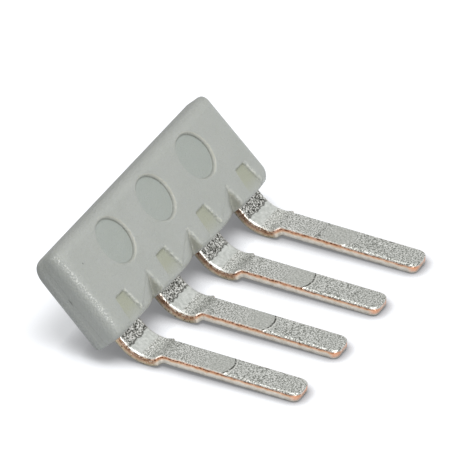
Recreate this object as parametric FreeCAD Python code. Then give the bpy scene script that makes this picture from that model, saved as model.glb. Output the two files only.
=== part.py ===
import FreeCAD, Part

import math
import os

# Insulated comb jumper for a row of rail terminals, in millimetres.
# A punched and bent copper comb is moulded into a flat plastic housing. The comb lies on its
# bends and blade tips, with the blades pointing to -Y and the housing leaning up to +Y and +Z.

V = FreeCAD.Vector

# Row of prongs, along X
pitch = 5.0
prong_count = 4

# Sheet of the comb, and the prongs seen from above
sheet = 0.5
prong_width = 2.4
blade_width = 1.75
blade_length = 8.1
shoulder_step = 0.25
shoulder_round = 0.12
tip_round = 0.4

# Side view of a prong, on the middle of the sheet. Y is 0 at the shoulder.
lean = 43.8
bend_corner = 1.63
bend_radius = 2.2
set_corner = 0.6
set_radius = 0.8
shoulder_radius = 0.9
blade_lift = 0.18
bare_length = 1.4

# Coined end of each blade
coin_start = 3.85
coin_depth = 0.04
coin_bevel = 0.1
coin_sweep = 1.6

# Bus bar inside the housing, from the housing's lower edge
bar_cover = 0.55
bar_height = 1.6

# Housing, upright: ends along X, height from the lower edge, sheet at its named depth
left_end = -9.775
right_end = 9.6
housing_height = 5.9
housing_thickness = 2.4
sheet_depth = 1.2
left_draft = 1.6
right_draft = 0.3
corner_round = 0.45
front_round = 0.8
back_round = 0.8
foot_round = 0.35
heel_round = 1.1

# Round recesses between the prongs
recess_diameter = 2.9
recess_depth = 0.22
recess_height = 3.9

# Pocket over each prong, flared towards the lower edge
pocket_top_width = 1.0
pocket_mouth_width = 1.55
pocket_height = 1.7
pocket_depth = 0.3

# Notch on the right of each prong: a wall that leans out as it goes down, and a ramp that rolls down to it
notch_wall = 3.0
notch_start = 0.35
notch_height = 1.45
notch_depth = 1.4
notch_lean = 0.2
notch_tip = 0.02

# Length by which a cutting shape runs past the face it leaves, and the smallest length that counts
past = 1.0
tiny = 1e-5

slope = math.radians(lean)
blade_slope = math.asin(blade_lift / blade_length)
prong_places = [(i - (prong_count - 1) / 2) * pitch for i in range(prong_count)]
up = V(0, math.cos(slope), math.sin(slope))
floor_line = sheet / 2
upright_length = bare_length + bar_cover + bar_height


def rounded_outline(corners):
    """Closed wire through (point, radius) corners."""
    arcs = []
    stops = []
    for i, (corner, radius) in enumerate(corners):
        back = (corners[i - 1][0] - corner).normalize()
        on = (corners[(i + 1) % len(corners)][0] - corner).normalize()
        if radius == 0:
            stops.append((corner, corner))
            continue
        half = back.getAngle(on) / 2
        reach = radius / math.tan(half)
        start, end = corner + back * reach, corner + on * reach
        middle = corner + (back + on).normalize() * (radius / math.sin(half) - radius)
        arcs.append(Part.Arc(start, middle, end).toShape())
        stops.append((start, end))
    sides = [
        Part.makeLine(stops[i - 1][1], stops[i][0])
        for i in range(len(stops))
        if stops[i - 1][1].distanceToPoint(stops[i][0]) > tiny
    ]
    return Part.Wire(Part.__sortEdges__(arcs + sides))


def prism(corners, along):
    """Solid of a closed outline pushed along a vector."""
    return Part.Face(rounded_outline(corners)).extrude(along)


def sheet_side(route, side):
    """One face of the bent sheet in side view, as (point, radius) corners of the route moved aside."""
    corners = []
    for i, (point, radius) in enumerate(route):
        before = point - route[i - 1][0] if i else route[1][0] - point
        after = route[i + 1][0] - point if i + 1 < len(route) else before
        before, after = V(before).normalize(), V(after).normalize()
        left_before, left_after = V(0, -before.z, before.y), V(0, -after.z, after.y)
        mitre = (left_before + left_after) * (1 / (1 + left_before.dot(left_after)))
        turn = before.y * after.z - before.z * after.y
        moved_radius = radius - side * math.copysign(1, turn) if radius else 0
        corners.append((point + mitre * side, moved_radius))
    return corners


def prong_route():
    """Middle of the sheet from the bus bar's top down the slab, round the bend and out along the blade."""
    bend = V(0, bend_corner, floor_line)
    return [
        (bend + up * upright_length, 0),
        (bend, bend_radius),
        (V(0, set_corner, floor_line), set_radius),
        (V(0, 0, floor_line + blade_lift), shoulder_radius),
        (V(0, -blade_length * math.cos(blade_slope), floor_line), 0),
    ]


def prong_outline():
    """A prong seen from above, wide through the bend and narrow from the shoulder on."""
    wide, narrow = prong_width / 2, blade_width / 2
    far = bend_corner + upright_length * math.cos(slope) + past
    tip = -blade_length * math.cos(blade_slope)
    right = [
        (V(wide, far), 0),
        (V(wide, shoulder_step), shoulder_round),
        (V(narrow, 0), shoulder_round),
        (V(narrow, tip), tip_round),
    ]
    left = [(V(-point.x, point.y), radius) for point, radius in reversed(right)]
    return right + left


def coin_cutter():
    """What coining presses off the top of a blade's end: a shallow layer with bevelled margins."""
    half = blade_width / 2
    section = [
        (V(-half - past, 0, -coin_depth - coin_bevel - past), 0),
        (V(-half, 0, -coin_depth - coin_bevel), 0),
        (V(-half + coin_bevel, 0, -coin_depth), 0),
        (V(half - coin_bevel, 0, -coin_depth), 0),
        (V(half, 0, -coin_depth - coin_bevel), 0),
        (V(half + past, 0, -coin_depth - coin_bevel - past), 0),
        (V(half + past, 0, past), 0),
        (V(-half - past, 0, past), 0),
    ]
    layer = prism(section, V(0, -(blade_length - coin_start) - past - coin_sweep, 0))
    layer.translate(V(0, -coin_start + coin_sweep, 0))
    crease = Part.makeCylinder(coin_sweep, 2 * past + sheet, V(0, -coin_start + coin_sweep, -past - sheet))
    layer = layer.cut(crease)
    layer.rotate(V(0, 0, 0), V(1, 0, 0), math.degrees(blade_slope))
    layer.translate(V(0, 0, floor_line + blade_lift + floor_line / math.cos(blade_slope)))
    return layer


def make_prong():
    """One bent prong with its coined blade end, centred on X = 0."""
    route = prong_route()
    side_view = sheet_side(route, sheet / 2) + list(reversed(sheet_side(route, -sheet / 2)))
    side_view = [(point - V(prong_width / 2, 0, 0), radius) for point, radius in side_view]
    strip = prism(side_view, V(prong_width, 0, 0))
    from_above = prism(prong_outline(), V(0, 0, upright_length * math.sin(slope) + sheet + 2 * past))
    from_above.translate(V(0, 0, -past))
    return strip.common(from_above).cut(coin_cutter())


def make_comb():
    """Prongs joined by the bus bar, which lies in the plane of the slab."""
    bar_length = prong_places[-1] - prong_places[0] + prong_width
    bar = Part.makeBox(bar_length, bar_height, sheet, V(-bar_length / 2, bar_cover, -sheet / 2))
    comb = place_upright(bar)
    for place in prong_places:
        prong = make_prong()
        prong.translate(V(place, 0, 0))
        comb = comb.fuse(prong)
    return comb.removeSplitter()


def place_upright(shape):
    """Lean a shape that was drawn upright on the sheet's plane, its lower edge at Y = 0."""
    shape.rotate(V(0, 0, 0), V(1, 0, 0), lean)
    shape.translate(V(0, bend_corner, floor_line) + up * bare_length)
    return shape


def rim(body, depth):
    """Edges of the slab's outline at a depth, apart from its foot."""
    return [
        edge
        for edge in body.Edges
        if abs(edge.BoundBox.ZMin - depth) < tiny
        and abs(edge.BoundBox.ZMax - depth) < tiny
        and edge.BoundBox.YMax > tiny
    ]


def round_foot(body):
    """Round the chain of edges about the foot, wider where it turns round the heel at the right end."""
    document = FreeCAD.newDocument()
    base = document.addObject("Part::Feature", "base")
    base.Shape = body
    rounded = document.addObject("Part::Fillet", "rounded")
    rounded.Base = base
    radii = []
    for number, edge in enumerate(body.Edges, 1):
        box = edge.BoundBox
        if box.YMax > tiny:
            continue
        at_heel = box.XMax > right_end - tiny
        leaves_front = box.ZMax > sheet_depth - tiny
        reaches_back = box.ZMin < sheet_depth - housing_thickness + tiny
        start = heel_round if at_heel and not leaves_front else foot_round
        end = heel_round if at_heel and not reaches_back else foot_round
        radii.append((number, start, end))
    rounded.Edges = radii
    document.recompute()
    return rounded.Shape


def slab():
    """Body of the housing with its drafted ends and rounded edges."""
    left_top = left_end + housing_height * math.tan(math.radians(left_draft))
    right_top = right_end - housing_height * math.tan(math.radians(right_draft))
    back = sheet_depth - housing_thickness
    outline = [
        (V(left_end, 0, back), 0),
        (V(right_end, 0, back), 0),
        (V(right_top, housing_height, back), 0),
        (V(left_top, housing_height, back), 0),
    ]
    body = prism(outline, V(0, 0, housing_thickness))
    body = body.makeFillet(front_round, rim(body, sheet_depth))
    body = body.makeFillet(back_round, rim(body, back))
    corners = [
        edge
        for edge in body.Edges
        if edge.BoundBox.YMin > housing_height / 2 and edge.BoundBox.ZLength > tiny
    ]
    return round_foot(body.makeFillet(corner_round, corners))


def recess_cutter(place):
    """Shallow round recess in the front face."""
    centre = V(place, recess_height, sheet_depth - recess_depth)
    return Part.makeCylinder(recess_diameter / 2, recess_depth + past, centre)


def pocket_cutter(place):
    """Open-ended pocket over a prong, wider at its mouth."""
    top, mouth = pocket_top_width / 2, pocket_mouth_width / 2
    flare = (mouth - top) / pocket_height * past
    level = sheet_depth - pocket_depth
    outline = [
        (V(place - top, pocket_height, level), 0),
        (V(place + top, pocket_height, level), 0),
        (V(place + mouth + flare, -past, level), 0),
        (V(place - mouth - flare, -past, level), 0),
    ]
    return prism(outline, V(0, 0, pocket_depth + past))


def notch_section(place, grow):
    """Outline of a notch where it has grown to a share of its size at the lower edge."""
    reach, depth = (notch_wall - notch_start) * grow, notch_depth * grow
    ramp_radius = (reach**2 + depth**2) / (2 * depth)
    sag = ramp_radius - math.sqrt(ramp_radius**2 - (reach / 2) ** 2)
    wall = notch_lean * grow

    def spot(across, down):
        return V(place + notch_wall + across, notch_height * (1 - grow), sheet_depth - down)

    ramp = Part.Arc(spot(-reach, 0), spot(-reach / 2, sag), spot(0, depth)).toShape()
    corners = [spot(0, depth), spot(wall, depth), spot(wall, -depth), spot(-reach, -depth), spot(-reach, 0)]
    sides = [Part.makeLine(a, b) for a, b in zip(corners, corners[1:])]
    return Part.Wire(Part.__sortEdges__([ramp] + sides))


def notch_cutter(place):
    """Cone-like scoop on the right of a prong, from a point on the front face down to the lower edge."""
    full = 1 + past / notch_height
    return Part.makeLoft([notch_section(place, notch_tip), notch_section(place, full)], True, True)


def make_housing(comb):
    """Moulded housing, solid round the bus bar."""
    body = slab()
    cutters = [recess_cutter((a + b) / 2) for a, b in zip(prong_places, prong_places[1:])]
    cutters += [pocket_cutter(place) for place in prong_places]
    cutters += [notch_cutter(place) for place in prong_places]
    for cutter in cutters:
        body = body.cut(cutter)
    return place_upright(body).cut(comb)


comb = make_comb()
housing = make_housing(comb)

os.makedirs("parts", exist_ok=True)
for name, shape in (("contact_comb", comb), ("insulating_housing", housing)):
    shape.exportStep("parts/" + name + ".step")
    print(name, len(shape.Solids), "solid", round(shape.Volume, 3), "mm3", "valid", shape.isValid())
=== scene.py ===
import math

import bpy
import numpy as np
from mathutils import Matrix, Vector


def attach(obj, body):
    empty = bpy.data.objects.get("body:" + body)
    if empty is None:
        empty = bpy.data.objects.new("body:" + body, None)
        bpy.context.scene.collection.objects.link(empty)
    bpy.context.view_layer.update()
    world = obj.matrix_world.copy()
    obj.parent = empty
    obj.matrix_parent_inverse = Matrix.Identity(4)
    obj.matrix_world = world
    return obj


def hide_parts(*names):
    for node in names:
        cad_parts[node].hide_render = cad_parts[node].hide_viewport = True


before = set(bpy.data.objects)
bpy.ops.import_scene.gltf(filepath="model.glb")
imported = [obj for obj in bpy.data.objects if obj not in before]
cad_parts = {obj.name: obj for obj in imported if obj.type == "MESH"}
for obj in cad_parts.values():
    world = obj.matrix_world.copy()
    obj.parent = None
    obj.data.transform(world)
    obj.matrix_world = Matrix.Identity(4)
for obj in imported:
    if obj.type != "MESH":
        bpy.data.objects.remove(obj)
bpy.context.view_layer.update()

# Looks of an insulated comb jumper. Lengths are in millimetres, and MM turns them into metres.
# X runs along the row of prongs, the blades point to -Y, and the housing leans up to +Y and +Z.

MM = 0.001

# Row and sheet
PITCH = 5.0
PRONGS = 4
SHEET = 0.5
PLACES = [(i - (PRONGS - 1) / 2) * PITCH for i in range(PRONGS)]

# Prongs: plan and side view, with Y = 0 at the shoulder
WIDE = 2.4
NARROW = 1.75
BLADE = 8.1
SHOULDER_STEP = 0.25
TIP_ROUND, FAR_TIP_ROUND = 0.4, 0.6
TIP_EDGE, TIP_THINNER, TIP_NARROWER = 0.08, 0.2, 0.04
LEAN = math.radians(43.8)
BEND_CORNER, BEND_RADIUS = 1.63, 2.2
SET_CORNER, SET_RADIUS = 0.6, 0.8
SHOULDER_RADIUS = 0.9
BLADE_LIFT = 0.18
BARE_LENGTH = 1.4
BAR_COVER, BAR_HEIGHT = 0.55, 1.6
FLOOR_LINE = SHEET / 2

# Upper edges rolled over by the punch: width and depth on the blade, what the bend adds, lower edges
ROLL_WIDTH, ROLL_DEPTH = 0.06, 0.05
BEND_ROLL_WIDTH, BEND_ROLL_DEPTH = 0.1, 0.05
LOW_ROLL = 0.05

# Coined blade end
COIN_START = 3.85
COIN_DEPTH = 0.02
COIN_BEVEL = 0.1
COIN_SWEEP = 1.6
COIN_EDGE = 0.08

# Fold across each prong near the housing
BEND_FOLD = 2.0
BEND_FOLD_DEPTH = 0.03
BEND_FOLD_WIDTH = 0.05

# Housing, upright: x along the row, h up from the lower edge, d forward from the sheet's plane
LEFT_END, RIGHT_END = -9.775, 9.6
LEFT_DRAFT, RIGHT_DRAFT = math.radians(1.6), math.radians(0.3)
HEIGHT = 5.9
FRONT, BACK = 1.2, -1.2
LEFT_SOFTNESS, RIGHT_SOFTNESS = 0.8, 0.2
FACE_ROUND = 0.8
FOOT_ROUND, HEEL_ROUND = 0.35, 0.85
HEEL_START = 8.0
RECESS_RADIUS, RECESS_DEPTH, RECESS_HEIGHT = 1.45, 0.2, 3.9
RECESS_TAPER, TAPER_SCALE, RECESS_SHIFT = 0.6, 0.9, 0.15
POCKET_TOP, POCKET_MOUTH, POCKET_HEIGHT, POCKET_DEPTH = 1.0, 1.55, 1.7, 0.2
NOTCH_WALL, NOTCH_START, NOTCH_HEIGHT, NOTCH_DEPTH = 3.0, 0.35, 1.45, 0.95
NOTCH_LEAN = 0.2

# Rounding of the edges that recesses, pockets and notches cut, and of the corners inside them
RECESS_EDGE, POCKET_EDGE, NOTCH_EDGE = 0.06, 0.12, 0.22
RECESS_CORNER, POCKET_CORNER, NOTCH_CORNER = 0.04, 0.05, 0.05
POCKET_TOP_CORNER = 0.06

# Painted shade and highlight in the recesses by distance from the middle, and other marks by x, depth and
# height
DISH_END, DISH_SHADE_LINE, DISH_LIP_HIGHLIGHT = 1.33, (1.31, 1.37), (1.39, 1.47)
GLINTS = (-9.5, -9.32)
END_START = -9.2
PARTING_LINE, RIDGE = (-0.03, 0.03), (-0.36, -0.28)
END_FLECK_DEPTH, END_FLECK_HEIGHT = (-0.13, -0.05), (2.95, 3.3)
FRONT_FLECK, FRONT_FLECK_SIZE = (-8.34, 4.32), 0.045

# Zones of a prong by the way from its shoulder: the blade is below 0, the bend and the stub above
WORN, SCRATCH = (-3.9, -2.4), (-2.1, -2.04)
SET, IRONED = (0.1, 1.1), (1.25, 2.2)
STUB_LINE, STUB_START = (2.05, 2.14), 2.14
BEND_START = 0.3
TIP_GLOW = -7.75
CREASE, CREASE_SHINE = (-0.07, 0.02), (0.05, 0.08)

# Fineness of the meshes
HOUSING_CELL, HOUSING_MARGIN = 0.08, 0.2
ROUTE_STEP, ARC_POINTS = 0.05, 24
FACE_POINTS, ROLL_POINTS, SIDE_POINTS = 17, 6, 6

# Stage
FLOOR_HALF, FLOOR_GAP = 400, 0.02
SHADE_REACHES, SHADE_POWER = (0.5, 1.0, 2.0), 1.7
WEAK_SHADE_END = -9.0
DARK_CARD = 8
LAMP_DISTANCE = 300
WORLD_LIGHT = 0.42

UP = Vector((0, math.cos(LEAN), math.sin(LEAN)))
OUT = Vector((0, -math.sin(LEAN), math.cos(LEAN)))
FOOT = Vector((0, BEND_CORNER, FLOOR_LINE)) + UP * BARE_LENGTH


def new_piece(name, points, faces, node):
    """Mesh object in metres that stands for a node of the frame and rides on its body."""
    mesh = bpy.data.meshes.new(name)
    mesh.from_pydata([tuple(p) for p in np.asarray(points) * MM], [], [tuple(f) for f in faces])
    mesh.validate()
    mesh.shade_smooth()
    piece = bpy.data.objects.new(name, mesh)
    bpy.context.scene.collection.objects.link(piece)
    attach(piece, "root")
    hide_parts(node)
    return piece


def add_attribute(piece, name, values):
    """Number per vertex that the material reads."""
    data = piece.data.attributes.new(name, "FLOAT", "POINT").data
    data.foreach_set("value", np.asarray(values, dtype=np.float32))


# Solids given by distance


def meet(a, b, radius):
    """Distance to what two solids share, its new edge rounded."""
    inside = np.minimum(np.maximum(a, b) + radius, 0)
    return inside + np.hypot(np.maximum(a + radius, 0), np.maximum(b + radius, 0)) - radius


def soft_meet(a, b, softness):
    """The same, with an edge that stays soft at every depth."""
    share = np.maximum(softness - np.abs(a - b), 0) / softness
    return np.maximum(a, b) + share * share * softness / 4


def recess(x, h, d, place):
    """Shallow round dish that narrows towards its floor.

    The taper makes the wall's distance grow too fast, so it is scaled back."""
    wall = np.hypot(x - place, h - RECESS_HEIGHT) - RECESS_RADIUS + RECESS_TAPER * (FRONT - d)
    return meet(wall * TAPER_SCALE, FRONT - RECESS_DEPTH - d, RECESS_CORNER)


def pocket_width(h):
    return POCKET_MOUTH + (POCKET_TOP - POCKET_MOUTH) * h / POCKET_HEIGHT


def pocket(x, h, d, place):
    """Flat pocket over a prong, wider towards the lower edge."""
    sides = np.abs(x - place) - pocket_width(h) / 2
    outline = meet(sides, h - POCKET_HEIGHT, POCKET_TOP_CORNER)
    return meet(outline, FRONT - POCKET_DEPTH - d, POCKET_CORNER)


def notch(x, h, d, place):
    """Scoop that grows towards the lower edge: a wall on its right, and a ramp that rolls down to it."""
    grow = np.maximum(1 - h / NOTCH_HEIGHT, 0.001)
    reach, depth = (NOTCH_WALL - NOTCH_START) * grow, NOTCH_DEPTH * grow
    radius = (reach**2 + depth**2) / (2 * depth)
    start = place + NOTCH_WALL - reach
    ramp = radius - np.hypot(x - start, d - FRONT + radius)
    ramp = np.maximum(np.maximum(ramp, start - x), FRONT - depth - d)
    ramp = np.maximum(ramp, h - NOTCH_HEIGHT)
    return meet(ramp, x - place - NOTCH_WALL - NOTCH_LEAN * grow, NOTCH_CORNER)


def comb_slot(x, h, d):
    """Room for the metal inside the housing."""
    half = WIDE / 2
    prongs = np.min([np.abs(x - place) - half for place in PLACES], axis=0)
    prongs = np.maximum(prongs, h - BAR_COVER - BAR_HEIGHT)
    bar = np.abs(h - BAR_COVER - BAR_HEIGHT / 2) - BAR_HEIGHT / 2
    bar = np.maximum(np.abs(x) - (PLACES[-1] + half), bar)
    return np.maximum(np.minimum(prongs, bar), np.abs(d) - SHEET / 2)


def housing_distance(x, h, d):
    """Slab with soft edges, less its recesses, notches, pockets and the room for the metal."""
    left = (LEFT_END - x) * math.cos(LEFT_DRAFT) + h * math.sin(LEFT_DRAFT)
    right = (x - RIGHT_END) * math.cos(RIGHT_DRAFT) + h * math.sin(RIGHT_DRAFT)
    softness = np.where(x < 0, LEFT_SOFTNESS, RIGHT_SOFTNESS)
    body = soft_meet(np.maximum(left, right), h - HEIGHT, softness)
    body = meet(meet(body, d - FRONT, FACE_ROUND), BACK - d, FACE_ROUND)
    heel = np.clip((x - HEEL_START) / (RIGHT_END - HEEL_START), 0, 1)
    body = meet(body, -h, FOOT_ROUND + (HEEL_ROUND - FOOT_ROUND) * heel)
    for a, b in zip(PLACES, PLACES[1:]):
        body = meet(body, -recess(x, h, d, (a + b) / 2 + RECESS_SHIFT), RECESS_EDGE)
    for place in PLACES:
        body = meet(body, -notch(x, h, d, place), NOTCH_EDGE)
        body = meet(body, -pocket(x, h, d, place), POCKET_EDGE)
    return np.maximum(body, -comb_slot(x, h, d))


def surface_of(distance, low, high, cell):
    """Points and quads of the zero level of a distance function, one point in each cell it crosses."""
    axes = [np.arange(a, b + cell, cell) for a, b in zip(low, high)]
    grid = np.stack(np.meshgrid(*axes, indexing="ij"), -1)
    value = distance(*np.moveaxis(grid, -1, 0))
    cells = tuple(n - 1 for n in value.shape)
    total = np.zeros(cells + (3,))
    count = np.zeros(cells)
    crossings = []
    for axis in range(3):
        first = [slice(None)] * 3
        first[axis] = slice(0, -1)
        second = [slice(None)] * 3
        second[axis] = slice(1, None)
        a, b = value[tuple(first)], value[tuple(second)]
        crossed = (a < 0) != (b < 0)
        share = np.where(crossed, a / np.where(crossed, a - b, 1), 0)
        point = grid[tuple(first)].copy()
        point[..., axis] += share * cell
        point *= crossed[..., None]
        others = [i for i in range(3) if i != axis]
        for i in (0, 1):
            for j in (0, 1):
                part = [slice(None)] * 3
                part[others[0]] = slice(i, i + cells[others[0]])
                part[others[1]] = slice(j, j + cells[others[1]])
                total += point[tuple(part)]
                count += crossed[tuple(part)]
        crossings.append((crossed, a < 0))
    used = count > 0
    number = np.full(cells, -1)
    number[used] = np.arange(used.sum())
    points = total[used] / count[used][:, None]
    quads = []
    for axis, (crossed, start_inside) in enumerate(crossings):
        others = [(axis + 1) % 3, (axis + 2) % 3]
        spots = np.argwhere(crossed)
        keep = np.all([(spots[:, o] > 0) & (spots[:, o] < cells[o]) for o in others], axis=0)
        spots = spots[keep]
        ring = []
        for i, j in ((-1, -1), (0, -1), (0, 0), (-1, 0)):
            cell_at = spots.copy()
            cell_at[:, others[0]] += i
            cell_at[:, others[1]] += j
            ring.append(number[tuple(cell_at.T)])
        ring = np.stack(ring, -1)
        outward = start_inside[tuple(spots.T)]
        ring[~outward] = ring[~outward][:, ::-1]
        quads.append(ring)
    return settle(points, distance, cell), np.concatenate(quads)


def settle(points, distance, cell):
    """Moves points onto the zero level, each by less than half a cell."""
    nudge = cell / 10
    least_slope = 0.25
    start = points.copy()
    for _ in range(3):
        slope = np.stack(
            [
                (distance(*(points + nudge * e).T) - distance(*(points - nudge * e).T)) / (2 * nudge)
                for e in np.eye(3)
            ],
            -1,
        )
        steep = np.maximum((slope * slope).sum(-1), least_slope)
        points = points - (distance(*points.T) / steep)[:, None] * slope
        points = start + np.clip(points - start, -cell / 2, cell / 2)
    return points


def housing_marks(x, h, d):
    """Numbers per point that tell the material where pockets lie and where it paints highlights on rims,
    light on notch walls and shade on the ramps.
    """
    wall_reach, ramp_reach, highlight_reach, rim_reach = 0.07, 1.3, 0.1, 0.07
    highlight_place, highlight_share = 0.06, 0.6
    deep = np.clip((FRONT - d) / POCKET_DEPTH, 0, 1)
    in_pocket = np.max([pocket(x, h, d, place) < 0.04 for place in PLACES], axis=0) * deep

    grow = 1 - h / NOTCH_HEIGHT
    past_wall = np.array([x - place - NOTCH_WALL - NOTCH_LEAN * grow for place in PLACES])
    # Where painted light goes on the notch walls
    wall_light_mask = (np.abs(past_wall).min(axis=0) < wall_reach) * (grow > 0)
    wall_light_mask = wall_light_mask * (d < FRONT - 0.1) * (d > FRONT - NOTCH_DEPTH * grow)
    # Where painted shade deepens along each notch's ramp towards its wall
    rise = np.max(np.clip(1 + past_wall / ramp_reach, 0, 1) * (past_wall < 0.02), axis=0)
    ramp_shade_mask = rise * (grow > 0) * np.clip((FRONT - 0.04 - d) / 0.1, 0, 1) * (d > 0)

    # Where painted highlights go along the right edges of the notches and pockets
    by_notch = (np.abs(past_wall - highlight_place).min(axis=0) < highlight_reach) * (grow > -0.05)
    by_notch = highlight_share * by_notch * (d > FRONT - 0.2) * (h > 0.15)
    off_rim = np.min([np.abs(x - place - pocket_width(h) / 2 - highlight_place) for place in PLACES], axis=0)
    by_pocket = np.clip(1.6 - off_rim / rim_reach, 0, 1)
    by_pocket = by_pocket * (h < POCKET_HEIGHT + 0.05) * (h > 0.25) * (d > FRONT - 0.15)
    on_rim = np.maximum(by_pocket, by_notch)
    return {"pocket": in_pocket, "rim_light": on_rim, "wall": wall_light_mask, "ramp": ramp_shade_mask}


def make_housing():
    """Moulded slab with soft edges, three recesses, pockets and notches."""
    low = (LEFT_END - HOUSING_MARGIN, -HOUSING_MARGIN, BACK - HOUSING_MARGIN)
    high = (RIGHT_END + HOUSING_MARGIN, HEIGHT + HOUSING_MARGIN, FRONT + HOUSING_MARGIN)
    points, quads = surface_of(housing_distance, low, high, HOUSING_CELL)
    x, h, d = points.T
    world = np.array(FOOT)[None, :] + np.outer(h, UP) + np.outer(d, OUT)
    world[:, 0] += x
    piece = new_piece("housing_shell", world, quads, "insulating_housing")
    marks = housing_marks(x, h, d) | {"across": x, "height": h, "depth": d}
    for name, values in marks.items():
        add_attribute(piece, name, values)
    return piece


# Comb


def rounded_route(corners, step):
    """Evenly spaced points of a polyline whose corners are arcs, from (y, z, radius) corners."""
    track = [np.array(corners[0][:2])]
    for i in range(1, len(corners) - 1):
        corner = np.array(corners[i][:2])
        back = np.array(corners[i - 1][:2]) - corner
        on = np.array(corners[i + 1][:2]) - corner
        back /= np.linalg.norm(back)
        on /= np.linalg.norm(on)
        half = math.acos(np.clip(back @ on, -1, 1)) / 2
        radius = corners[i][2]
        reach = radius / math.tan(half)
        centre = corner + (back + on) / np.linalg.norm(back + on) * radius / math.sin(half)
        start, end = corner + back * reach - centre, corner + on * reach - centre
        turn = math.atan2(start[0] * end[1] - start[1] * end[0], start @ end)
        for share in np.linspace(0, 1, ARC_POINTS):
            cos, sin = math.cos(turn * share), math.sin(turn * share)
            arm = (start[0] * cos - start[1] * sin, start[0] * sin + start[1] * cos)
            track.append(centre + np.array(arm))
    track.append(np.array(corners[-1][:2]))
    track = np.array(track)
    lengths = np.r_[0, np.cumsum(np.linalg.norm(np.diff(track, axis=0), axis=1))]
    at = np.linspace(0, lengths[-1], int(lengths[-1] / step) + 1)
    return np.stack([np.interp(at, lengths, track[:, 0]), np.interp(at, lengths, track[:, 1])], -1)


def half_width(y, tip_round):
    """Half the prong's width at a distance from the shoulder, with the step and the rounded tip."""
    wide, narrow = WIDE / 2, NARROW / 2
    share = np.clip(y / SHOULDER_STEP, 0, 1)
    share = share * share * (3 - 2 * share)
    half = narrow + (wide - narrow) * share
    tip = -BLADE * math.cos(math.asin(BLADE_LIFT / BLADE))
    into = np.clip(tip + tip_round - y, 0, tip_round)
    return float(half - tip_round + np.sqrt(tip_round**2 - into**2))


def section(half, width, depth):
    """Outline of the sheet's cut, from the left margin of the top round to the left side.

    It gives (across, level, side) points, where side is 1 on the cut faces and 0 on the sheet's faces.
    The upper edges are rolled over by the given width and depth."""
    top, bottom = SHEET / 2, -SHEET / 2
    turn = np.linspace(0, math.pi / 2, ROLL_POINTS)
    across = np.linspace(-half + width, half - width, FACE_POINTS)
    upper = [(a, top, 0) for a in across]
    right = [
        (half - width + width * math.sin(t), top - depth + depth * math.cos(t), t / turn[-1])
        for t in turn[1:]
    ]
    levels = np.linspace(top - depth, bottom + LOW_ROLL, SIDE_POINTS)[1:-1]
    side = [(half, level, 1) for level in levels]
    foot = [
        (half - LOW_ROLL + LOW_ROLL * math.cos(t), bottom + LOW_ROLL - LOW_ROLL * math.sin(t), 1)
        for t in turn
    ]
    lower = [(a, bottom, 0) for a in across[::-1][1:-1]]
    left = [(-a, level, edge) for a, level, edge in reversed(right + side + foot)]
    return np.array(upper + right + side + foot + lower + left)


def past_crease(across, y):
    """How far a point of the blade lies beyond the curved crease where coining starts."""
    return -COIN_START + COIN_SWEEP - np.sqrt(np.maximum(COIN_SWEEP**2 - across**2, 0)) - y


def pressed(outline, y):
    """Presses a blade's end down, bevels its left margin, and sinks the fold by the housing."""
    across, level, side = outline.T
    coin = np.clip(past_crease(across, y) / COIN_EDGE, 0, 1)
    margin = np.clip((COIN_BEVEL - across - np.abs(across).max()) / COIN_BEVEL, 0, 1)
    limit = SHEET / 2 - COIN_DEPTH - COIN_BEVEL * margin
    level = np.where(level > limit, level + (limit - level) * coin, level)
    fold = BEND_FOLD_DEPTH * math.exp(-(((y - BEND_FOLD) / BEND_FOLD_WIDTH) ** 2))
    return np.stack([across, np.where(side < 0.5, level - np.sign(level) * fold, level), side], -1)


def prong_rings():
    """Cuts of a prong along its bent middle line: outline, y, z, direction outwards, way along."""
    slope = math.asin(BLADE_LIFT / BLADE)
    upright = BARE_LENGTH + BAR_COVER + BAR_HEIGHT
    route = [
        (BEND_CORNER + math.cos(LEAN) * upright, FLOOR_LINE + math.sin(LEAN) * upright, 0),
        (BEND_CORNER, FLOOR_LINE, BEND_RADIUS),
        (SET_CORNER, FLOOR_LINE, SET_RADIUS),
        (0, FLOOR_LINE + BLADE_LIFT, SHOULDER_RADIUS),
        (-BLADE * math.cos(slope), FLOOR_LINE, 0),
    ]
    track = rounded_route(route, ROUTE_STEP)
    ahead = np.gradient(track, axis=0)
    ahead /= np.linalg.norm(ahead, axis=1)[:, None]
    normal = np.stack([ahead[:, 1], -ahead[:, 0]], -1)
    run = np.r_[0, np.cumsum(np.linalg.norm(np.diff(track, axis=0), axis=1))]
    run = np.interp(0, -track[:, 0], run) - run
    tip = track[-1, 0]
    rings = []
    for (y, z), out, at in zip(track, normal, run):
        end = math.sqrt(max(1 - max(1 - (y - tip) / TIP_EDGE, 0) ** 2, 0))
        wide_share = float(np.clip(y / SHOULDER_STEP, 0, 1))
        width = ROLL_WIDTH + BEND_ROLL_WIDTH * wide_share
        depth = ROLL_DEPTH + BEND_ROLL_DEPTH * wide_share
        half = half_width(y, TIP_ROUND)
        outline = pressed(section(half, width, depth), y)
        outline[:, 1] *= 1 - TIP_THINNER + TIP_THINNER * end
        outline[:, 0] *= 1 - TIP_NARROWER + TIP_NARROWER * end
        outline[:, 0] *= np.where(outline[:, 0] > 0, half_width(y, FAR_TIP_ROUND) / half, 1)
        rings.append((outline, y, z, out, at))
    return rings


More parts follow.
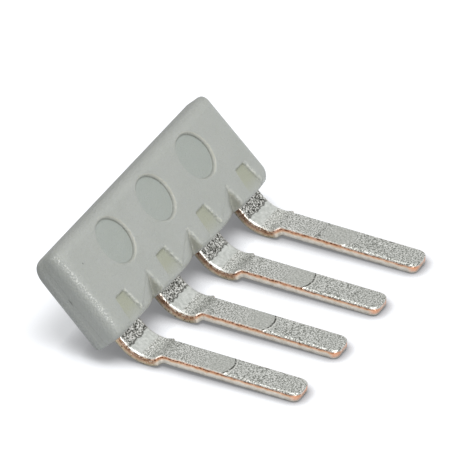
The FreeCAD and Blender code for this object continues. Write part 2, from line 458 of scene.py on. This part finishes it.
def make_comb():
    """Four prongs swept along their bent middle line, and the bus bar that joins them."""
    rings = prong_rings()
    size = len(rings[0][0])
    points, faces, marks = [], [], []
    for place in PLACES:
        base = len(points)
        for outline, y, z, out, at in rings:
            for a, lift, side in outline:
                points.append((place + a, y + out[0] * lift, z + out[1] * lift))
                marks.append((at, lift, side, past_crease(a, y)))
        tip_ring = base + (len(rings) - 1) * size
        for here in range(base, tip_ring, size):
            there = here + size
            for j in range(size):
                k = (j + 1) % size
                faces.append((here + j, there + j, there + k, here + k))
        faces.append(tuple(range(base, base + size)))
        faces.append(tuple(reversed(range(tip_ring, tip_ring + size))))
    base = len(points)
    low, high = FOOT + UP * BAR_COVER, FOOT + UP * (BAR_COVER + BAR_HEIGHT)
    reach = PLACES[-1] + WIDE / 2
    for x in (-reach, reach):
        for middle in (low, high):
            for lift in (-SHEET / 2, SHEET / 2):
                points.append((x, middle.y + OUT.y * lift, middle.z + OUT.z * lift))
                marks.append((3, lift, 0, -BLADE))
    for ring in ((0, 1, 3, 2), (6, 7, 5, 4), (4, 5, 1, 0), (2, 3, 7, 6), (0, 2, 6, 4), (5, 7, 3, 1)):
        faces.append(tuple(base + i for i in ring))
    piece = new_piece("comb_metal", points, faces, "contact_comb")
    for name, values in zip(("run", "level", "side", "coin"), np.array(marks).T):
        add_attribute(piece, name, values)
    return piece


# Materials


def srgb(*levels):
    """Linear colour of a screen colour given from 0 to 255."""
    linear = [((c / 255 + 0.055) / 1.055) ** 2.4 if c > 10 else c / 255 / 12.92 for c in levels]
    return tuple(linear) + (1,)


class Graph:
    """Shader nodes of a material or world, and short ways to add and link them."""

    def __init__(self, owner):
        owner.use_nodes = True
        self.nodes = owner.node_tree.nodes
        self.links = owner.node_tree.links

    def feed(self, socket, value):
        """Links a socket to an output, or sets it to a fixed value."""
        if isinstance(value, (float, int, tuple)):
            socket.default_value = value
        else:
            self.links.new(value, socket)

    def add(self, kind, inputs, output=0):
        """New node with some inputs given by name or number, and one of its outputs."""
        node = self.nodes.new(kind)
        for name, value in inputs.items():
            self.feed(node.inputs[name], value)
        return node.outputs[output]

    def maths(self, operation, *values):
        node = self.nodes.new("ShaderNodeMath")
        node.operation = operation
        for socket, value in zip(node.inputs, values):
            self.feed(socket, value)
        return node.outputs[0]

    def times(self, a, b):
        return self.maths("MULTIPLY", a, b)

    def above(self, source, level, soft):
        """0 below a level and 1 above it, with a soft step."""
        inputs = {"Value": source, "From Min": level - soft, "From Max": level + soft}
        return self.add("ShaderNodeMapRange", inputs, "Result")

    def below(self, source, level, soft):
        """1 below a level and 0 above it, with a soft step."""
        inputs = {"Value": source, "From Min": level - soft, "From Max": level + soft}
        return self.add("ShaderNodeMapRange", inputs | {"To Min": 1, "To Max": 0}, "Result")

    def band(self, source, low, high, soft):
        """1 between low and high, 0 outside, with soft edges."""
        return self.times(self.above(source, low, soft), self.below(source, high, soft))

    def off(self, a, b, spot):
        """Distance of the point (a, b) from a spot."""
        steps = [self.maths("SUBTRACT", source, place) for source, place in zip((a, b), spot)]
        squares = [self.times(step, step) for step in steps]
        return self.maths("SQRT", self.maths("ADD", *squares))

    def attribute(self, name):
        node = self.nodes.new("ShaderNodeAttribute")
        node.attribute_name = name
        return node.outputs["Fac"]

    def split(self, vector):
        """The X, Y and Z of a vector."""
        return self.add("ShaderNodeSeparateXYZ", {0: vector}).node.outputs

    def noise(self, scale, detail, where):
        """Noise texture whose grain is scale lumps to the millimetre."""
        inputs = {"Scale": scale / MM, "Detail": detail, "Vector": where}
        return self.add("ShaderNodeTexNoise", inputs, "Fac")

    def ramp(self, source, stops):
        """Colour ramp through (position, colour) stops."""
        node = self.nodes.new("ShaderNodeValToRGB")
        elements = node.color_ramp.elements
        elements[0].position, elements[0].color = stops[0]
        elements[1].position, elements[1].color = stops[-1]
        for position, colour in stops[1:-1]:
            elements.new(position).color = colour
        self.feed(node.inputs["Fac"], source)
        return node.outputs["Color"]

    def speckle(self, where, grain, dark, middle, light, spread):
        """Tin crystals: grain lumps to the millimetre between three greys."""
        stops = [(0.5 - spread, srgb(*dark)), (0.5, srgb(*middle)), (0.5 + spread, srgb(*light))]
        return self.ramp(self.noise(grain, 3, where), stops)

    def mix(self, share, a, b):
        """Colour between a and b."""
        node = self.nodes.new("ShaderNodeMix")
        node.data_type = "RGBA"
        for socket, value in ((node.inputs[0], share), (node.inputs[6], a), (node.inputs[7], b)):
            self.feed(socket, value)
        return node.outputs[2]

    def layers(self, base, *coats):
        """Lays (share, colour) coats over a colour, one after the other."""
        for share, colour in coats:
            base = self.mix(share, base, colour)
        return base

    def blend(self, share, a, b):
        """Shader between a and b."""
        return self.add("ShaderNodeMixShader", {0: share, 1: a, 2: b})

    def bump(self, height, distance, shader):
        inputs = {"Distance": distance * MM, "Height": height}
        self.feed(shader.inputs["Normal"], self.add("ShaderNodeBump", inputs, "Normal"))


def housing_plastic():
    """Light grey, slightly green polyamide with a fine satin grain."""
    material = bpy.data.materials.new("housing_plastic")
    tree = Graph(material)
    where = tree.add("ShaderNodeTexCoord", {}, "Object")
    across, height, depth = (tree.attribute(name) for name in ("across", "height", "depth"))
    cloud = tree.noise(0.5, 2, where)
    cloud = tree.ramp(cloud, [(0.3, srgb(171, 175, 169)), (0.7, srgb(179, 182, 177))])
    fine = tree.noise(7, 2, where)
    fine = tree.ramp(fine, [(0.35, (0.45, 0.45, 0.45, 1)), (0.65, (0.55, 0.55, 0.55, 1))])
    base = tree.mix(0.5, cloud, tree.mix(fine, srgb(150, 154, 148), srgb(198, 201, 196)))

    # Recesses: painted shade on a darker, greener floor, and on the right side a dark painted shade line
    # at the foot of the wall and a pale painted highlight on the lip
    middle = tree.maths("WRAP", across, PITCH / 2, -PITCH / 2)
    reach = tree.off(middle, height, (RECESS_SHIFT, RECESS_HEIGHT))
    row = PLACES[-1] - 0.1
    facing = tree.maths("GREATER_THAN", depth, FRONT / 2)
    facing = tree.times(facing, tree.band(across, -row, row, 0.01))
    right = tree.times(tree.above(middle, 0.1, 1.3), facing)
    dish = tree.times(tree.below(reach, DISH_END, 0.015), facing)
    line = tree.times(tree.band(reach, *DISH_SHADE_LINE, 0.02), right)
    lip_highlight = tree.times(tree.band(reach, *DISH_LIP_HIGHLIGHT, 0.03), right)

    # Pockets: a yellowish tint on their floors. Notches: painted shade on the ramps and painted light on
    # the walls. Ragged painted highlights along the right edges of both
    fade = tree.times(tree.attribute("pocket"), tree.above(height, 0.5, 0.4))
    valley_shade = tree.times(tree.attribute("ramp"), 0.7)
    rim_highlight = tree.times(tree.attribute("rim_light"), tree.above(tree.noise(6, 2, where), 0.47, 0.06))

    # Left end: glints along its front edge, parting line, ridge and flecks
    glints = tree.times(tree.band(across, *GLINTS, 0.07), tree.above(depth, 0.6, 0.15))
    glints = tree.times(glints, tree.above(tree.noise(11, 2, where), 0.54, 0.03))
    glints = tree.times(glints, tree.above(height, 0.8, 0.3))
    on_end = tree.maths("LESS_THAN", across, END_START)
    parting = tree.times(tree.times(tree.band(depth, *PARTING_LINE, 0.02), on_end), 0.2)
    ridge = tree.times(tree.times(tree.band(depth, *RIDGE, 0.03), on_end), 0.5)
    end_fleck = tree.times(tree.band(depth, *END_FLECK_DEPTH, 0.02), on_end)
    end_fleck = tree.times(end_fleck, tree.band(height, *END_FLECK_HEIGHT, 0.08))
    front_fleck = tree.below(tree.off(across, height, FRONT_FLECK), FRONT_FLECK_SIZE, 0.02)

    base = tree.layers(
        base,
        (dish, srgb(168, 174, 168)),
        (line, srgb(116, 120, 110)),
        (lip_highlight, srgb(194, 194, 184)),
        (fade, srgb(170, 173, 156)),
        (valley_shade, srgb(146, 149, 138)),
        (tree.attribute("wall"), srgb(188, 189, 178)),
        (rim_highlight, srgb(204, 206, 198)),
        (glints, srgb(222, 224, 219)),
        (front_fleck, srgb(104, 106, 100)),
        (end_fleck, srgb(128, 131, 124)),
        (parting, srgb(130, 133, 127)),
        (ridge, srgb(190, 193, 187)),
    )
    shader = tree.nodes["Principled BSDF"]
    tree.feed(shader.inputs["Base Color"], base)
    shader.inputs["Roughness"].default_value = 0.38
    shader.inputs["Specular IOR Level"].default_value = 0.75
    shader.inputs["Subsurface Weight"].default_value = 0.25
    shader.inputs["Subsurface Radius"].default_value = (1.0, 1.0, 0.8)
    shader.inputs["Subsurface Scale"].default_value = 0.3 * MM
    tree.bump(tree.noise(9, 3, where), 0.05, shader)
    return material


def tinned_copper():
    """Matt tin over copper: coarse by the housing, finer on the blades, copper on the cut edges."""
    material = bpy.data.materials.new("tinned_copper")
    tree = Graph(material)
    where = tree.add("ShaderNodeTexCoord", {}, "Object")
    run, level, side, coin = (tree.attribute(name) for name in ("run", "level", "side", "coin"))
    wobble = tree.maths("SUBTRACT", tree.noise(2.5, 3, where), 0.5)
    shake = tree.maths("SUBTRACT", tree.noise(4, 2, where), 0.5)
    dots = tree.noise(9, 2, where)

    # Sheet faces. The far prong has a scratch and no painted shade or highlight at its crease.
    last = tree.maths("GREATER_THAN", tree.split(where)["X"], (PLACES[-1] - WIDE) * MM)
    creased = tree.maths("SUBTRACT", 1.0, last)
    edge = tree.maths("ADD", run, tree.times(shake, 0.5))
    crease = tree.maths("ADD", coin, tree.times(shake, 0.12))
    scratch = tree.times(tree.band(edge, *SCRATCH, 0.02), last)
    unbroken = tree.times(tree.above(dots, 0.43, 0.05), creased)
    # Painted shade along the coining crease, broken up, and a painted highlight just beyond it
    crease_shade = tree.times(tree.band(crease, *CREASE, 0.02), unbroken)
    shine = tree.times(tree.band(crease, *CREASE_SHINE, 0.02), creased)
    tin = tree.speckle(where, 14, (104, 105, 98), (194, 196, 190), (242, 242, 239), 0.14)
    drops = tree.speckle(where, 12, (98, 100, 93), (190, 192, 186), (236, 237, 233), 0.14)
    coarse = tree.speckle(where, 10, (52, 52, 48), (156, 157, 150), (240, 240, 236), 0.11)
    ironed = tree.speckle(where, 5, (192, 195, 190), (207, 210, 205), (222, 224, 220), 0.2)
    worn = tree.speckle(where, 10, (158, 160, 154), (188, 190, 184), (216, 217, 212), 0.2)
    tin = tree.layers(
        tin,
        (tree.band(run, *WORN, 0.5), worn),
        (tree.above(coin, 0.1, 0.05), drops),
        (scratch, srgb(90, 90, 83)),
        (tree.band(run, *IRONED, 0.08), ironed),
        (tree.above(edge, STUB_START, 0.04), coarse),
        (tree.band(edge, *STUB_LINE, 0.04), srgb(84, 84, 78)),
        (crease_shade, srgb(62, 62, 56)),
        (shine, srgb(226, 226, 220)),
    )

    # Cut faces, by the share of the sheet's thickness from its underside
    height = tree.maths("ADD", level, tree.times(wobble, 0.16))
    height = tree.maths("ADD", tree.maths("DIVIDE", height, SHEET), 0.5)
    blade_cut = [
        (0.0, srgb(150, 148, 136)),
        (0.14, srgb(200, 197, 188)),
        (0.42, srgb(226, 220, 208)),
        (0.56, srgb(228, 200, 172)),
        (0.68, srgb(214, 152, 110)),
        (0.78, srgb(164, 102, 66)),
        (0.87, srgb(216, 156, 118)),
        (0.97, srgb(226, 214, 204)),
    ]
    bend_cut = [
        (0.0, srgb(150, 146, 128)),
        (0.2, srgb(196, 184, 158)),
        (0.36, srgb(198, 164, 130)),
        (0.5, srgb(178, 128, 90)),
        (0.62, srgb(112, 78, 54)),
        (0.74, srgb(206, 158, 120)),
        (0.86, srgb(236, 222, 206)),
        (0.95, srgb(248, 248, 244)),
    ]
    bent = tree.above(run, BEND_START, 0.15)
    dash = tree.times(tree.band(height, 0.72, 0.9, 0.03), tree.above(dots, 0.52, 0.03))
    tip = tree.times(tree.below(run, TIP_GLOW, 0.15), tree.band(height, 0.25, 0.8, 0.1))
    cut = tree.layers(
        tree.ramp(height, blade_cut),
        (bent, tree.ramp(height, bend_cut)),
        (0.2, tree.speckle(where, 3, (142, 132, 114), (206, 198, 184), (240, 237, 230), 0.16)),
        (tree.times(tree.above(dots, 0.66, 0.03), bent), srgb(84, 66, 50)),
        (tree.times(tree.below(dots, 0.36, 0.03), bent), srgb(218, 208, 188)),
        (dash, srgb(110, 70, 44)),
        (tree.times(tip, 0.7), srgb(226, 160, 122)),
    )
    shader = tree.nodes["Principled BSDF"]
    tree.feed(shader.inputs["Base Color"], tree.mix(side, tin, cut))
    shader.inputs["Metallic"].default_value = 0.92
    corner = tree.times(tree.band(run, *SET, 0.3), 0.3)
    tree.feed(shader.inputs["Roughness"], tree.maths("ADD", corner, 0.34))
    tree.bump(tree.noise(9, 3, where), 0.015, shader)
    return material


def set_material(piece, material):
    piece.data.materials.clear()
    piece.data.materials.append(material)


# Stage


def floor_paper():
    """Paper that looks white in the open and darker near the object, and is clear from below.

    Glossy surfaces see it dark beyond DARK_CARD, as if a card stood behind the housing."""
    material = bpy.data.materials.new("floor_paper")
    tree = Graph(material)
    tree.nodes.clear()
    rays = tree.nodes.new("ShaderNodeLightPath").outputs
    geometry = tree.nodes.new("ShaderNodeNewGeometry").outputs
    place = tree.split(geometry["Position"])
    clear = 1.0
    for reach in SHADE_REACHES:
        near = tree.nodes.new("ShaderNodeAmbientOcclusion")
        near.samples = 8
        near.inputs["Distance"].default_value = reach * MM
        clear = tree.times(clear, tree.maths("POWER", near.outputs["AO"], SHADE_POWER))
    # The shade is weaker under and beyond the left end
    by_end = tree.below(place["X"], WEAK_SHADE_END * MM, 0.8 * MM)
    clear = tree.maths("POWER", clear, tree.maths("SUBTRACT", 1.0, tree.times(by_end, 0.5)))

    seen = tree.maths("MAXIMUM", rays["Is Camera Ray"], rays["Is Glossy Ray"])
    strength = tree.times(seen, tree.maths("ADD", tree.times(clear, 0.3), 0.2))
    glow = tree.add("ShaderNodeEmission", {"Color": (0.97, 0.98, 1, 1), "Strength": strength})
    shown = tree.mix(clear, (0.2, 0.2, 0.21, 1), (0.55, 0.56, 0.58, 1))
    paper = tree.add("ShaderNodeBsdfDiffuse", {"Color": tree.mix(seen, (0.42, 0.43, 0.45, 1), shown)})
    lit = tree.add("ShaderNodeAddShader", {0: paper, 1: glow})

    behind = tree.maths("GREATER_THAN", place["Y"], DARK_CARD * MM)
    card = tree.add("ShaderNodeEmission", {"Strength": 0.5})
    shaded = tree.blend(tree.times(behind, rays["Is Glossy Ray"]), lit, card)
    one_sided = tree.blend(geometry["Backfacing"], shaded, tree.add("ShaderNodeBsdfTransparent", {}))
    tree.feed(tree.nodes.new("ShaderNodeOutputMaterial").inputs["Surface"], one_sided)
    return material


def add_floor():
    """Wide floor just below the object."""
    mesh = bpy.data.meshes.new("floor")
    half = FLOOR_HALF * MM
    corners = [(-half, -half), (half, -half), (half, half), (-half, half)]
    mesh.from_pydata([(x, y, -FLOOR_GAP * MM) for x, y in corners], [], [(0, 1, 2, 3)])
    mesh.materials.append(floor_paper())
    floor = bpy.data.objects.new("floor", mesh)
    bpy.context.scene.collection.objects.link(floor)
    return floor


def add_world():
    """Even light from all round, with a pale backdrop for the camera and glossy surfaces."""
    world = bpy.data.worlds.new("studio")
    bpy.context.scene.world = world
    tree = Graph(world)
    tree.nodes.clear()
    light = tree.add("ShaderNodeBackground", {"Strength": WORLD_LIGHT})
    backdrop = tree.add("ShaderNodeBackground", {})
    rays = tree.nodes.new("ShaderNodeLightPath").outputs
    seen = tree.maths("MAXIMUM", rays["Is Camera Ray"], rays["Is Transmission Ray"])
    seen = tree.maths("MAXIMUM", seen, rays["Is Glossy Ray"])
    tree.feed(tree.nodes.new("ShaderNodeOutputWorld").inputs["Surface"], tree.blend(seen, light, backdrop))


def add_lamp(name, direction, size, power, lit):
    """Square lamp that faces the object from a direction and lights one collection."""
    light = bpy.data.lights.new(name, "AREA")
    light.size = size * MM
    light.energy = power
    lamp = bpy.data.objects.new(name, light)
    spot = Vector(direction).normalized() * LAMP_DISTANCE * MM
    lamp.matrix_world = Matrix.Translation(spot) @ spot.to_track_quat("Z", "Y").to_matrix().to_4x4()
    lamp.light_linking.receiver_collection = lit
    bpy.context.scene.collection.objects.link(lamp)


def add_camera():
    """Long lens at the photograph's angle, rolled as the photograph is."""
    azimuth, elevation, roll = math.radians(-65.355), math.radians(31.57), math.radians(1.866)
    distance, pixels_per_mm, width, sensor = 1100, 18.356, 458, 36
    aim_up = 3.56
    flat = math.cos(elevation)
    towards = Vector((math.sin(azimuth) * flat, -math.cos(azimuth) * flat, math.sin(elevation)))
    right = Vector((0, 0, 1)).cross(towards).normalized()
    turned = Matrix.Rotation(roll, 3, towards) @ right
    upward = towards.cross(turned)
    data = bpy.data.cameras.new("camera")
    data.lens = distance * pixels_per_mm * sensor / width
    data.sensor_width = sensor
    camera = bpy.data.objects.new("camera", data)
    place = (upward * aim_up + towards * distance) * MM
    basis = Matrix((turned, upward, towards)).transposed().to_4x4()
    camera.matrix_world = Matrix.Translation(place) @ basis
    bpy.context.scene.collection.objects.link(camera)
    bpy.context.scene.camera = camera


housing = make_housing()
comb = make_comb()
set_material(housing, housing_plastic())
set_material(comb, tinned_copper())
jumper_group = bpy.data.collections.new("jumper")
for piece in (housing, comb):
    jumper_group.objects.link(piece)
floor_group = bpy.data.collections.new("ground")
floor_group.objects.link(add_floor())
add_world()
add_lamp("overhead", (0.1, -0.15, 1), 200, 0.42, jumper_group)
add_lamp("key", (-0.47, -0.67, 0.54), 60, 0.26, jumper_group)
add_lamp("floor_light", (-0.12, -0.1, 1), 200, 0.95, floor_group)
add_camera()
bpy.context.scene.view_settings.view_transform = "Standard"
